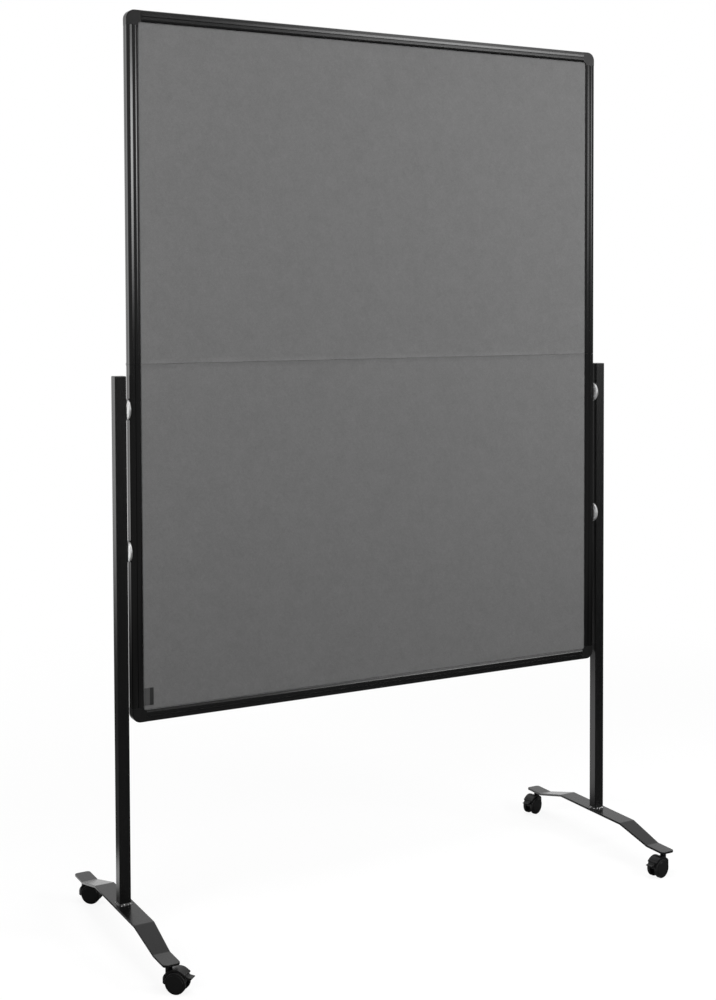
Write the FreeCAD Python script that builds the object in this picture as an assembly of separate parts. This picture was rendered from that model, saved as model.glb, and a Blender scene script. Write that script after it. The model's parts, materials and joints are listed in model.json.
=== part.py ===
# Mobile presentation pinboard: a folding felt board in a slim aluminium frame, clamped between
# two square posts that stand on bent steel feet with braked twin-wheel casters.
# Millimetres. +Z is up, the front of the board faces -Y, the floor is z = 0, and the middle of
# the board is x = 0 and y = 0.
import FreeCAD
import Part
import os
from math import asin, atan2, cos, hypot, radians, sin, tan

# Board and its two halves
board_width = 1200.0
lower_half_height = 760.0
upper_half_height = 740.0
board_bottom = 470.0
fold_gap = 0.3

# Frame profile: a hollow chamber on the outside and a channel for the panel on the inside
profile_face = 25.0
profile_depth = 23.0
profile_wall = 1.8
profile_shoulder = 2.5
chamber_width = 8.8
bead_rise = 0.2
bead_split = 13.0
bead_groove_width = 1.4
bead_groove_depth = 0.9
side_line_width = 1.6
side_line_depth = 0.5
lip_thickness = 2.4
lip_crest = 18.7
lip_edge_thickness = 0.5

# Moulded frame corners
corner_radius = 19.0
corner_inner_radius = 5.0
corner_straight = 1.5
corner_edge_round = 2.0
tongue_length = 25.0
tongue_clearance = 0.15

# Panel in the channel
felt_thickness = 2.0
felt_loft = 0.4
felt_nip = 2.0
panel_end_clearance = 0.6
panel_side_clearance = 0.1

# Fold hinges on the back of the stiles
leaf_width = 21.0
leaf_height = 32.0
leaf_thickness = 2.2
knuckle_radius = 3.2
knuckle_air = 0.3
knuckle_gap = 0.2
hinge_pin_radius = 1.5

# Posts and what joins them to the board
post_size = 25.0
post_wall = 1.5
post_corner_radius = 2.0
post_below_fold = 24.0
plug_flange = 2.5
plug_bevel = 1.2
plug_stub_length = 15.0
plug_clearance = 0.15
clamp_space = 7.5
clamp_below_fold = 95.0
clamp_spacing = 300.0
clamp_wheel_radius = 23.0
clamp_wheel_side_gap = 0.5
clamp_wheel_bevel = 0.8
stud_radius = 4.0
stud_head_radius = 6.5
stud_head_thickness = 3.0
keyhole_clearance = 0.3
keyhole_rise = 14.0
insert_wall = 1.6
insert_length = 8.0

# Feet, bent from flat bar
foot_length = 570.0
foot_flat_length = 250.0
foot_slope_run = 100.0
foot_drop = 25.0
foot_width = 44.0
foot_end_width = 36.0
foot_thickness = 5.0
foot_bend_radius = 14.0
foot_tip_radius = 8.0
foot_edge_bevel = 0.6
weld_leg = 3.2

# Casters
caster_from_tip = 20.0
caster_trail = 19.0
caster_wheel_radius = 22.0
caster_wheel_width = 9.0
caster_wheel_gap = 0.4
wheel_bevel = 1.5
wheel_face_wall = 2.5
wheel_cap_radius = 17.5
wheel_cap_step = 0.6
hood_core_width = 12.6
hood_width = 26.0
hood_gap = 1.2
hood_wall = 3.8
hood_nose = 4.5
hood_nose_drop = 4.0
hood_hub_wall = 6.5
hood_hub_angle = 55.0
hood_core_inset = 3.0
hood_top_angle = 100.0
hood_rear_angle = 42.0
hood_side_round = 1.4
neck_radius = 7.0
neck_rise = 3.0
swivel_gap = 0.5
bush_height = 3.5
stem_radius = 4.0
stem_depth = 22.0
axle_radius = 2.5
axle_end_gap = 0.2

# Caster brakes
brake_travel = 17.0
brake_pad_gap = 0.35
brake_pad_angle = 29.0
brake_thickness = 2.7
brake_width = 17.0
brake_side_gap = 0.4
brake_pin_radius = 1.5
brake_knuckle_wall = 1.1
brake_tab_reach = 29.5
brake_tab_rise = 7.0
brake_lug_wall = 1.3

# Fits: radial clearance of a pin that turns, and of one that is held
running_fit = 0.05
held_fit = 0.03

# Compass headings of the casters, the way each wheel trails its stem, from +X towards +Y
caster_headings = {
    "front_left": -45.5,
    "rear_left": -39.8,
    "front_right": 191.5,
    "rear_right": 200.5,
}

# Worked out from the sizes above
half_depth = profile_depth / 2
half_width = board_width / 2
fold_height = board_bottom + lower_half_height
board_top = fold_height + upper_half_height
channel_floor = 2 * profile_wall + chamber_width
chamber_half = half_depth - bead_rise - profile_wall
channel_half = half_depth - lip_thickness
bead_centre = (profile_shoulder + bead_split - bead_groove_width / 2) / 2
corner_leg = profile_face + corner_inner_radius + corner_straight
panel_inset = channel_floor + panel_end_clearance
felt_face = channel_half - panel_side_clearance
core_half = felt_face - felt_thickness

hinge_y = half_depth + knuckle_air + knuckle_radius
hinge_x = half_width - profile_face / 2
knuckle_width = leaf_width / 3

post_x = half_width + clamp_space + post_size / 2
post_inner_half = post_size / 2 - post_wall
clamp_heights = {
    "upper": fold_height - clamp_below_fold,
    "lower": fold_height - clamp_below_fold - clamp_spacing,
}
insert_radius = stud_radius + insert_wall

axle_height = caster_wheel_radius
hood_inner = caster_wheel_radius + hood_gap
hood_radius = hood_inner + hood_wall
neck_top = axle_height + hood_radius + neck_rise
bush_bottom = neck_top + swivel_gap
foot_end_bottom = bush_bottom + bush_height
foot_end_top = foot_end_bottom + foot_thickness
foot_top = foot_end_top + foot_drop
post_top = fold_height - post_below_fold - plug_flange
stem_y = foot_length / 2 - caster_from_tip
wheel_inner_face = hood_core_width / 2 + caster_wheel_gap
axle_half = wheel_inner_face + caster_wheel_width - wheel_face_wall - axle_end_gap
brake_knuckle_radius = brake_pin_radius + brake_knuckle_wall
brake_pivot_radius = hood_inner + hood_wall / 2

near_zero = 0.001
origin = FreeCAD.Vector(0, 0, 0)
along_x = FreeCAD.Vector(1, 0, 0)
along_y = FreeCAD.Vector(0, 1, 0)
along_z = FreeCAD.Vector(0, 0, 1)
downward = 270


def flat_face(points):
    """Face in the XY plane. A pair of points in the list is an arc: a point on it and its end."""
    here = FreeCAD.Vector(*points[0], 0)
    edges = []
    for step in points[1:] + points[:1]:
        if isinstance(step[0], tuple):
            middle = FreeCAD.Vector(*step[0], 0)
            there = FreeCAD.Vector(*step[1], 0)
            edges.append(Part.Arc(here, middle, there).toShape())
        else:
            there = FreeCAD.Vector(*step, 0)
            edges.append(Part.makeLine(here, there))
        here = there
    return Part.Face(Part.Wire(edges))


def polar(centre, radius, angle):
    """Point at a radius and an angle in degrees from a centre."""
    return (centre[0] + radius * cos(radians(angle)), centre[1] + radius * sin(radians(angle)))


def upright(face, width):
    """Slab from a face drawn as (x, z), centred on y = 0."""
    slab = face.extrude(FreeCAD.Vector(0, 0, width))
    slab.translate(FreeCAD.Vector(0, 0, -width / 2))
    return slab.rotated(origin, along_x, 90)


def box(low, high):
    """Box between two corners."""
    low = FreeCAD.Vector(*low)
    size = FreeCAD.Vector(*high) - low
    return Part.makeBox(size.x, size.y, size.z, low)


def rod(radius, start, end):
    """Round bar between two points."""
    start = FreeCAD.Vector(*start)
    run = FreeCAD.Vector(*end) - start
    return Part.makeCylinder(radius, run.Length, start, run)


def turned(points, start, direction):
    """Turned piece from (radius, distance along the axis) points, set on an axis."""
    solid = flat_face(points).revolve(origin, along_y, 360)
    solid.Placement = FreeCAD.Placement(
        FreeCAD.Vector(*start), FreeCAD.Rotation(along_y, FreeCAD.Vector(*direction))
    )
    return solid


def mirrored(shape):
    """The same piece on the other side of the object."""
    return shape.mirror(origin, along_x)


def rounded_square(size, radius):
    """Square face with round corners, centred on the origin."""
    half = size / 2
    inner = half - radius
    points = []
    for quarter in range(4):
        turn = -90 + 90 * quarter
        centre = polar((0, 0), inner * 2**0.5, turn + 45)
        points.append(polar(centre, radius, turn))
        points.append((polar(centre, radius, turn + 45), polar(centre, radius, turn + 90)))
    return flat_face(points)


def bar_side(path, bend_radius, offset):
    """Points along one side of a bar that is bent along a path, offset to the left of it."""
    runs = []
    for here, there in zip(path, path[1:]):
        length = hypot(there[0] - here[0], there[1] - here[1])
        runs.append(((there[0] - here[0]) / length, (there[1] - here[1]) / length))
    points = [(path[0][0] - runs[0][1] * offset, path[0][1] + runs[0][0] * offset)]
    for corner, before, after in zip(path[1:-1], runs, runs[1:]):
        cross = before[0] * after[1] - before[1] * after[0]
        dot = before[0] * after[0] + before[1] * after[1]
        turn = atan2(cross, dot)
        way = 1 if turn > 0 else -1
        set_back = bend_radius * tan(abs(turn) / 2)
        start = (corner[0] - before[0] * set_back, corner[1] - before[1] * set_back)
        centre = (start[0] - before[1] * way * bend_radius, start[1] + before[0] * way * bend_radius)
        radius = bend_radius - way * offset
        first = atan2(-before[0] * way, before[1] * way)
        angles = [first + turn * share for share in (0, 0.5, 1)]
        bend = [(centre[0] + radius * cos(angle), centre[1] + radius * sin(angle)) for angle in angles]
        points.append(bend[0])
        points.append((bend[1], bend[2]))
    points.append((path[-1][0] - runs[-1][1] * offset, path[-1][1] + runs[-1][0] * offset))
    return points


def crowned(crest, end):
    """Middle of the arc that leaves a crest level and runs down to its end."""
    run = end[0] - crest[0]
    drop = crest[1] - end[1]
    radius = (run**2 + drop**2) / (2 * drop)
    turn = asin(run / radius) / 2
    return (crest[0] + radius * sin(turn), crest[1] - radius * (1 - cos(turn)))


def profile_section():
    """Frame section: x from the outer edge inwards, y across the depth, alike front and back."""
    valley = half_depth - bead_rise
    crest = (lip_crest, half_depth)
    lip_edge = (profile_face, channel_half + lip_edge_thickness)
    corner = 1 - 0.5**0.5
    split_start = bead_split - bead_groove_width / 2
    split_end = bead_split + bead_groove_width / 2
    side = [
        ((profile_shoulder * corner, valley - profile_shoulder * corner), (profile_shoulder, valley)),
        ((bead_centre, half_depth), (split_start, valley)),
        (bead_split, valley - bead_groove_depth),
        (split_end, valley),
        (crowned(crest, (split_end, valley)), crest),
        (crowned(crest, lip_edge), lip_edge),
        (profile_face, channel_half),
        (channel_floor, channel_half),
    ]
    start = (0, valley - profile_shoulder)
    front = [start] + side
    back = []
    for index in range(len(front) - 1, 0, -1):
        step = front[index]
        target = front[index - 1]
        target = target[-1] if isinstance(target[0], tuple) else target
        if isinstance(step[0], tuple):
            back.append(((step[0][0], -step[0][1]), (target[0], -target[1])))
        else:
            back.append((target[0], -target[1]))
    side_line = [(0, -side_line_width / 2), (side_line_depth, 0), (0, side_line_width / 2)]
    section = flat_face(front + [(channel_floor, -channel_half)] + back + side_line)
    chamber = Part.makePlane(
        chamber_width, 2 * chamber_half, FreeCAD.Vector(profile_wall, -chamber_half, 0)
    )
    return section.cut(chamber)


def stile(bottom, top):
    """Upright of the frame on the left side."""
    piece = profile_section().extrude(FreeCAD.Vector(0, 0, top - bottom))
    piece.translate(FreeCAD.Vector(-half_width, 0, bottom))
    return piece


def rail():
    """Cross piece of the frame along X, with its outer edge at z = 0 and its channel upwards."""
    length = board_width - 2 * corner_leg
    piece = profile_section().extrude(FreeCAD.Vector(0, 0, length))
    piece.rotate(origin, FreeCAD.Vector(1, 0, 1), 180)
    piece.translate(FreeCAD.Vector(-length / 2, 0, 0))
    return piece


def frame_corner():
    """Moulded corner at the lower left, with tongues for the chambers of the two profiles."""
    inner = profile_face + corner_inner_radius
    outline = [
        (corner_leg, 0),
        (corner_leg, profile_face),
        (inner, profile_face),
        (polar((inner, inner), corner_inner_radius, 225), (profile_face, inner)),
        (profile_face, corner_leg),
        (0, corner_leg),
        (0, corner_radius),
        (polar((corner_radius, corner_radius), corner_radius, 225), (corner_radius, 0)),
    ]
    body = upright(flat_face(outline), profile_depth)
    rim = []
    for edge in body.Edges:
        bounds = edge.BoundBox
        at_left = bounds.XMin < near_zero
        at_bottom = bounds.ZMin < near_zero
        whole_left = bounds.XMax < near_zero
        whole_bottom = bounds.ZMax < near_zero
        on_outside = whole_left or whole_bottom or (at_left and at_bottom)
        if bounds.YLength < near_zero and on_outside:
            rim.append(edge)
    body = body.makeFillet(corner_edge_round, rim)
    beyond = 2 * corner_leg
    slot = box((channel_floor, -channel_half, channel_floor), (beyond, channel_half, beyond))
    low = profile_wall + tongue_clearance
    high = profile_wall + chamber_width - tongue_clearance
    half = chamber_half - tongue_clearance
    end = corner_leg + tongue_length
    upward = box((low, -half, corner_leg), (high, half, end))
    sideways = box((corner_leg, -half, low), (end, half, high))
    piece = body.cut(slot).fuse([upward, sideways]).removeSplitter()
    piece.translate(FreeCAD.Vector(-half_width, 0, 0))
    return piece


def core(bottom, top):
    """Light board inside one half of the panel."""
    edge = half_width - panel_inset
    return box((-edge, -core_half, bottom), (edge, core_half, top))


def felt(bottom, top):
    """Front felt of one half: nipped under the lips, and lofted between them."""
    edge = half_width - panel_inset
    sheet = box((-edge, -felt_face, bottom), (edge, -core_half, top))
    lofted = half_width - profile_face - felt_nip
    low = max(bottom, board_bottom + profile_face + felt_nip)
    high = min(top, board_top - profile_face - felt_nip)
    loft = box((-lofted, -felt_face - felt_loft, low), (lofted, -felt_face, high))
    return sheet.fuse(loft).removeSplitter()


def hinge_leaf(way):
    """Leaf of the left hinge: the upper one has the middle knuckle, the lower one the outer two."""
    left = -hinge_x - leaf_width / 2
    back = half_depth + leaf_thickness
    notch = knuckle_radius + knuckle_air
    plate = box((left, half_depth, notch), (left + leaf_width, back, leaf_height))
    knuckles = []
    for number in ([1] if way > 0 else [0, 2]):
        start = left + number * knuckle_width + knuckle_gap / 2
        end = left + (number + 1) * knuckle_width - knuckle_gap / 2
        knuckles.append(box((start, half_depth, fold_gap / 2), (end, back, notch)))
        knuckles.append(rod(knuckle_radius, (start, hinge_y, 0), (end, hinge_y, 0)))
    leaf = plate.fuse(knuckles).removeSplitter()
    if way < 0:
        leaf = leaf.mirror(origin, along_z)
    leaf.translate(FreeCAD.Vector(0, 0, fold_height))
    bore_radius = hinge_pin_radius + running_fit
    bore = rod(bore_radius, (left, hinge_y, fold_height), (left + leaf_width, hinge_y, fold_height))
    return leaf.cut(bore)


def hinge_pin():
    """Pin of the left hinge."""
    left = -hinge_x - leaf_width / 2
    return rod(hinge_pin_radius, (left, hinge_y, fold_height), (left + leaf_width, hinge_y, fold_height))


def board_insert(height):
    """Threaded insert in the outer wall of the left stile."""
    start = (-half_width + side_line_depth, 0, height)
    end = (-half_width + insert_length, 0, height)
    return rod(insert_radius, start, end).cut(rod(stud_radius + held_fit, start, end))


def clamp_stud(height):
    """Headed stud from inside the left post into the insert of the stile."""
    head_back = clamp_space + post_wall + keyhole_clearance + stud_head_thickness
    shank = head_back - stud_head_thickness
    points = [
        (0, -insert_length),
        (stud_radius, -insert_length),
        (stud_radius, shank),
        (stud_head_radius, shank),
        (stud_head_radius, shank + stud_head_thickness / 2),
        (stud_head_radius - stud_head_thickness / 2, head_back),
        (0, head_back),
    ]
    return turned(points, (-half_width, 0, height), (-1, 0, 0))


def clamp_wheel(height):
    """Flat clamp wheel on the left stud, with bevelled rims."""
    half = clamp_space / 2 - clamp_wheel_side_gap
    outer = [
        (stud_radius + running_fit, half),
        (clamp_wheel_radius - clamp_wheel_bevel, half),
        (clamp_wheel_radius, half - clamp_wheel_bevel),
    ]
    points = outer + [(radius, -side) for radius, side in reversed(outer)]
    return turned(points, (-half_width - clamp_space / 2, 0, height), (1, 0, 0))


def post():
    """Left post, a square tube with keyholes for the studs in the wall that faces the board."""
    tube = rounded_square(post_size, post_corner_radius)
    hollow = rounded_square(2 * post_inner_half, post_corner_radius - post_wall)
    piece = tube.cut(hollow).extrude(FreeCAD.Vector(0, 0, post_top - foot_top))
    piece.translate(FreeCAD.Vector(-post_x, 0, foot_top))
    near = -half_width - clamp_space + post_wall
    far = -post_x
    cuts = []
    for height in clamp_heights.values():
        narrow = stud_radius + keyhole_clearance
        wide = stud_head_radius + keyhole_clearance
        entry = height + keyhole_rise
        cuts.append(rod(narrow, (far, 0, height), (near, 0, height)))
        cuts.append(box((far, -narrow, height), (near, narrow, entry)))
        cuts.append(rod(wide, (far, 0, entry), (near, 0, entry)))
    return piece.cut(cuts)


def post_plug():
    """Plastic plug in the top of the left post."""
    cap = rounded_square(post_size, post_corner_radius).extrude(FreeCAD.Vector(0, 0, plug_flange))
    top = [edge for edge in cap.Edges if edge.BoundBox.ZMin > plug_flange - near_zero]
    cap = cap.makeChamfer(plug_bevel, top)
    stub_half = post_inner_half - plug_clearance
    stub = box((-stub_half, -stub_half, -plug_stub_length), (stub_half, stub_half, 0))
    piece = cap.fuse(stub).removeSplitter()
    piece.translate(FreeCAD.Vector(-post_x, 0, post_top))
    return piece


def is_upright(face):
    """Whether a flat or round face stands upright."""
    flat = isinstance(face.Surface, Part.Plane)
    return abs(face.Surface.Axis.z) < near_zero if flat else abs(face.Surface.Axis.z) > 1 - near_zero


def is_vertical(edge):
    """Whether an edge runs straight up."""
    return hypot(edge.BoundBox.XLength, edge.BoundBox.YLength) < near_zero


def foot():
    """Left foot: flat bar, tapered in plan, bent down twice at each end."""
    middle = foot_thickness / 2
    path = [
        (-foot_length / 2, foot_end_top - middle),
        (-foot_flat_length / 2 - foot_slope_run, foot_end_top - middle),
        (-foot_flat_length / 2, foot_top - middle),
    ]
    path = path + [(-along, height) for along, height in reversed(path)]
    outline = bar_side(path, foot_bend_radius, middle) + bar_side(path[::-1], foot_bend_radius, middle)
    bar = upright(flat_face(outline), foot_width)
    half = foot_width / 2
    end_half = foot_end_width / 2
    tip = foot_length / 2
    bend = foot_flat_length / 2 + foot_slope_run
    tip_in = tip - foot_tip_radius
    tip_side = end_half - foot_tip_radius
    corner = [
        (foot_flat_length / 2, half),
        (bend, end_half),
        (tip_in, end_half),
        (polar((tip_in, tip_side), foot_tip_radius, 45), (tip, tip_side)),
        (tip, -tip_side),
        (polar((tip_in, -tip_side), foot_tip_radius, -45), (tip_in, -end_half)),
        (bend, -end_half),
        (foot_flat_length / 2, -half),
    ]
    other = [
        (-foot_flat_length / 2, -half),
        (-bend, -end_half),
        (-tip_in, -end_half),
        (polar((-tip_in, -tip_side), foot_tip_radius, 225), (-tip, -tip_side)),
        (-tip, tip_side),
        (polar((-tip_in, tip_side), foot_tip_radius, 135), (-tip_in, end_half)),
        (-bend, end_half),
        (-foot_flat_length / 2, half),
    ]
    blank = flat_face(corner + other).extrude(FreeCAD.Vector(0, 0, 2 * foot_top))
    piece = bar.common(blank)
    rim = []
    for face in piece.Faces:
        if is_upright(face):
            rim += [edge for edge in face.Edges if not is_vertical(edge)]
    piece = piece.makeChamfer(foot_edge_bevel, rim)
    piece.rotate(origin, along_z, 90)
    piece.translate(FreeCAD.Vector(-post_x, 0, 0))
    return piece


def foot_weld():
    """Fillet weld round the base of the left post."""
    lower = rounded_square(post_size + 2 * weld_leg, post_corner_radius + weld_leg).OuterWire
    upper = rounded_square(post_size + 2 * held_fit, post_corner_radius + held_fit).OuterWire
    upper.translate(FreeCAD.Vector(0, 0, weld_leg))
    bead = Part.makeLoft([lower, upper], True, True)
    hole = rounded_square(post_size + 2 * held_fit, post_corner_radius + held_fit)
    bead = bead.cut(hole.extrude(FreeCAD.Vector(0, 0, 2 * weld_leg)))
    bead.translate(FreeCAD.Vector(-post_x, 0, foot_top))
    return bead


def caster_bush():
    """Bush under the end of a foot that holds a stem, on the stem's axis."""
    bottom = (0, 0, bush_bottom)
    top = (0, 0, foot_end_bottom)
    return rod(neck_radius, bottom, top).cut(rod(stem_radius + held_fit, bottom, top))


def caster_stem():
    """Steel stem from the foot down into the hood, on its own axis."""
    return rod(stem_radius, (0, 0, neck_top - stem_depth), (0, 0, foot_end_bottom))


def caster_hood():
    """Hood of a caster: stem at the origin, axle one trail along +X, wheel wells on both sides."""
    axle = (caster_trail, axle_height)
    core_radius = caster_wheel_radius - hood_core_inset
    hub_radius = axle_radius + hood_hub_wall
    top = polar(axle, hood_radius, hood_top_angle)
    nose = (caster_trail - hood_radius - hood_nose, axle_height - hood_nose_drop)
    normal = (cos(radians(hood_top_angle)), sin(radians(hood_top_angle)))
    span = (nose[0] - top[0], nose[1] - top[1])
    radius = -(span[0] ** 2 + span[1] ** 2) / (2 * (span[0] * normal[0] + span[1] * normal[1]))
    centre = (top[0] - normal[0] * radius, top[1] - normal[1] * radius)
    half_way = (
        (top[0] + nose[0]) / 2 - centre[0],
        (top[1] + nose[1]) / 2 - centre[1],
    )
    stretch = radius / hypot(*half_way)
    nose_middle = (centre[0] + half_way[0] * stretch, centre[1] + half_way[1] * stretch)
    outline = [
        polar(axle, hood_radius, hood_rear_angle),
        (polar(axle, hood_radius, (hood_rear_angle + hood_top_angle) / 2), top),
        (nose_middle, nose),
        polar(axle, hub_radius, downward - hood_hub_angle),
        (polar(axle, hub_radius, downward), polar(axle, hub_radius, downward + hood_hub_angle)),
        polar(axle, core_radius, 0),
        (polar(axle, core_radius, hood_rear_angle / 2), polar(axle, core_radius, hood_rear_angle)),
    ]
    body = upright(flat_face(outline), hood_width)
    half = hood_width / 2
    back = caster_trail + hood_radius
    plan_round = half - hood_side_round
    plan = flat_face([
        (back, -half),
        (back, half),
        (nose[0] + plan_round, half),
        ((nose[0], 0), (nose[0] + plan_round, -half)),
    ])
    body = body.common(plan.extrude(FreeCAD.Vector(0, 0, neck_top)))
    body = body.fuse(rod(neck_radius, (0, 0, axle_height), (0, 0, neck_top)))
    for side in (-1, 1):
        core_side = (caster_trail, side * hood_core_width / 2, axle_height)
        outside = (caster_trail, side * hood_width, axle_height)
        body = body.cut(rod(hood_inner, core_side, outside))
    pivot = brake_pivot()
    knuckle_room = brake_knuckle_radius + brake_side_gap
    room_half = brake_width / 2 + brake_side_gap
    lugs = []
    for side in (-1, 1):
        lugs.append(
            rod(
                brake_pin_radius + brake_lug_wall,
                (pivot[0], side * room_half, pivot[1]),
                (pivot[0], side * half, pivot[1]),
            )
        )
    body = body.fuse(lugs)
    held = axle_radius + held_fit
    pin = brake_pin_radius + held_fit
    cuts = [
        rod(knuckle_room, (pivot[0], -room_half, pivot[1]), (pivot[0], room_half, pivot[1])),
        rod(pin, (pivot[0], -half, pivot[1]), (pivot[0], half, pivot[1])),
        rod(held, (caster_trail, -half, axle_height), (caster_trail, half, axle_height)),
        rod(stem_radius + running_fit, (0, 0, neck_top - stem_depth - swivel_gap), (0, 0, foot_top)),
    ]
    return body.cut(cuts).removeSplitter()


def brake_pivot():
    """Pivot of a brake lever in the caster's own (x, z)."""
    return polar((caster_trail, axle_height), brake_pivot_radius, hood_rear_angle)


def caster_pins():
    """Axle and brake pin of a caster."""
    pivot = brake_pivot()
    half = hood_width / 2
    axle = rod(axle_radius, (caster_trail, -axle_half, axle_height), (caster_trail, axle_half, axle_height))
    pin = rod(brake_pin_radius, (pivot[0], -half, pivot[1]), (pivot[0], half, pivot[1]))
    return Part.makeCompound([axle, pin])


def caster_wheel(side):
    """Wheel of a caster on one side (-1 or +1), with a closed outer face round a raised cap."""
    bore = axle_radius + running_fit
    bore_end = caster_wheel_width - wheel_face_wall
    face = caster_wheel_width - wheel_cap_step
    shoulder = caster_wheel_radius - wheel_bevel
    points = [
        (0, caster_wheel_width),
        (0, bore_end),
        (bore, bore_end),
        (bore, 0),
        (shoulder, 0),
        (caster_wheel_radius, wheel_bevel),
        (caster_wheel_radius, face - wheel_bevel),
        (shoulder, face),
        (wheel_cap_radius, face),
        (wheel_cap_radius - wheel_cap_step, caster_wheel_width),
    ]
    return turned(points, (caster_trail, side * wheel_inner_face, axle_height), (0, side, 0))


def brake_lever():
    """Brake lever of a caster, drawn pressed with its pad off the treads, then raised to rest."""
    axle = (caster_trail, axle_height)
    pad = caster_wheel_radius + brake_pad_gap
    back = pad + brake_thickness
    tip = (caster_trail + brake_tab_reach, axle_height + brake_tab_rise)
    top_angle = hood_rear_angle
    tab_angle = top_angle - brake_pad_angle / 2
    pad_angle = top_angle - brake_pad_angle
    pad_end = polar(axle, pad, pad_angle)
    slope = atan2(tip[1] - pad_end[1], tip[0] - pad_end[0])
    across = (-sin(slope) * brake_thickness / 2, cos(slope) * brake_thickness / 2)
    outline = [
        polar(axle, back, top_angle),
        (polar(axle, back, (top_angle + tab_angle) / 2), polar(axle, back, tab_angle)),
        (tip[0] + across[0], tip[1] + across[1]),
        (
            (tip[0] + cos(slope) * brake_thickness / 2, tip[1] + sin(slope) * brake_thickness / 2),
            (tip[0] - across[0], tip[1] - across[1]),
        ),
        pad_end,
        (polar(axle, pad, (top_angle + pad_angle) / 2), polar(axle, pad, top_angle)),
    ]
    pivot = brake_pivot()
    half = brake_width / 2
    knuckle = rod(brake_knuckle_radius, (pivot[0], -half, pivot[1]), (pivot[0], half, pivot[1]))
    bore = rod(brake_pin_radius + running_fit, (pivot[0], -half, pivot[1]), (pivot[0], half, pivot[1]))
    lever = upright(flat_face(outline), brake_width).fuse(knuckle).cut(bore).removeSplitter()
    lever.rotate(FreeCAD.Vector(pivot[0], 0, pivot[1]), along_y, -brake_travel)
    return lever


def build():
    """Every node of the object by name."""
    low = fold_height - fold_gap / 2
    high = fold_height + fold_gap / 2
    heights = list(clamp_heights.values())
    nodes = {}

    lower_stile = stile(board_bottom + corner_leg, low)
    upper_stile = stile(high, board_top - corner_leg)
    for height in heights:
        outside = (-half_width - profile_wall, 0, height)
        inside = (-half_width + 2 * profile_wall, 0, height)
        lower_stile = lower_stile.cut(rod(insert_radius + held_fit, outside, inside))
    bottom_rail = rail()
    top_rail = bottom_rail.rotated(origin, along_y, 180)
    bottom_rail.translate(FreeCAD.Vector(0, 0, board_bottom))
    top_rail.translate(FreeCAD.Vector(0, 0, board_top))
    lower_corner = frame_corner()
    upper_corner = lower_corner.mirror(origin, along_z)
    lower_corner.translate(FreeCAD.Vector(0, 0, board_bottom))
    upper_corner.translate(FreeCAD.Vector(0, 0, board_top))

    pairs = {
        "post": post(),
        "foot": foot(),
        "stile_lower": lower_stile,
        "stile_upper": upper_stile,
        "corner_lower": lower_corner,
        "corner_upper": upper_corner,
    }
    for name, piece in pairs.items():
        nodes[name + "_left"] = piece
        nodes[name + "_right"] = mirrored(piece)
    nodes["bottom_rail"] = bottom_rail
    nodes["top_rail"] = top_rail

    halves = {
        "lower": (board_bottom + panel_inset, low),
        "upper": (high, board_top - panel_inset),
    }
    for half, (bottom, top) in halves.items():
        nodes["core_" + half] = core(bottom, top)
        nodes["felt_front_" + half] = felt(bottom, top)
        nodes["felt_back_" + half] = felt(bottom, top).mirror(origin, along_y)

    both_sides = {
        "post_plugs": [post_plug()],
        "foot_welds": [foot_weld()],
        "stile_inserts": [board_insert(height) for height in heights],
        "clamp_studs": [clamp_stud(height) for height in heights],
        "hinge_leaves_lower": [hinge_leaf(-1)],
        "hinge_leaves_upper": [hinge_leaf(1)],
        "hinge_pins": [hinge_pin()],
    }
    for name, pieces in both_sides.items():
        nodes[name] = Part.makeCompound(pieces + [mirrored(piece) for piece in pieces])

    for place, height in clamp_heights.items():
        nodes["clamp_wheel_" + place + "_left"] = clamp_wheel(height)
        nodes["clamp_wheel_" + place + "_right"] = mirrored(clamp_wheel(height))

    bushes = []
    stems = []
    caster_pieces = {
        "hood": caster_hood(),
        "pins": caster_pins(),
        "wheel_a": caster_wheel(-1),
        "wheel_b": caster_wheel(1),
        "brake": brake_lever(),
    }
    for site, heading in caster_headings.items():
        x = post_x if "right" in site else -post_x
        y = stem_y if "rear" in site else -stem_y
        stand = FreeCAD.Placement(FreeCAD.Vector(x, y, 0), FreeCAD.Rotation(along_z, heading))
        bushes.append(caster_bush().transformed(stand.toMatrix()))
        stems.append(caster_stem().transformed(stand.toMatrix()))
        for name, piece in caster_pieces.items():
            nodes["caster_" + site + "_" + name] = piece.transformed(stand.toMatrix())
    nodes["caster_bushes"] = Part.makeCompound(bushes)
    nodes["caster_stems"] = Part.makeCompound(stems)
    return nodes


os.makedirs("parts", exist_ok=True)
for name, shape in build().items():
    shape.exportStep("parts/" + name + ".step")
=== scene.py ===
# %% [markdown]
# # Dressing a mobile pinboard
# The pinboard is a grey felt board in a slim black frame. It is clamped between two square posts,
# which stand on bent feet with braked casters. Its solids come from CAD and already stand where
# they belong, so this lesson only gives them their looks: a camera, light, finishes, and new pieces
# where a plain solid can't look right. The first step loads the solids.

# %% Load the solids
import json
import math

import bmesh
import bpy
from mathutils import Matrix, Vector

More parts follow.
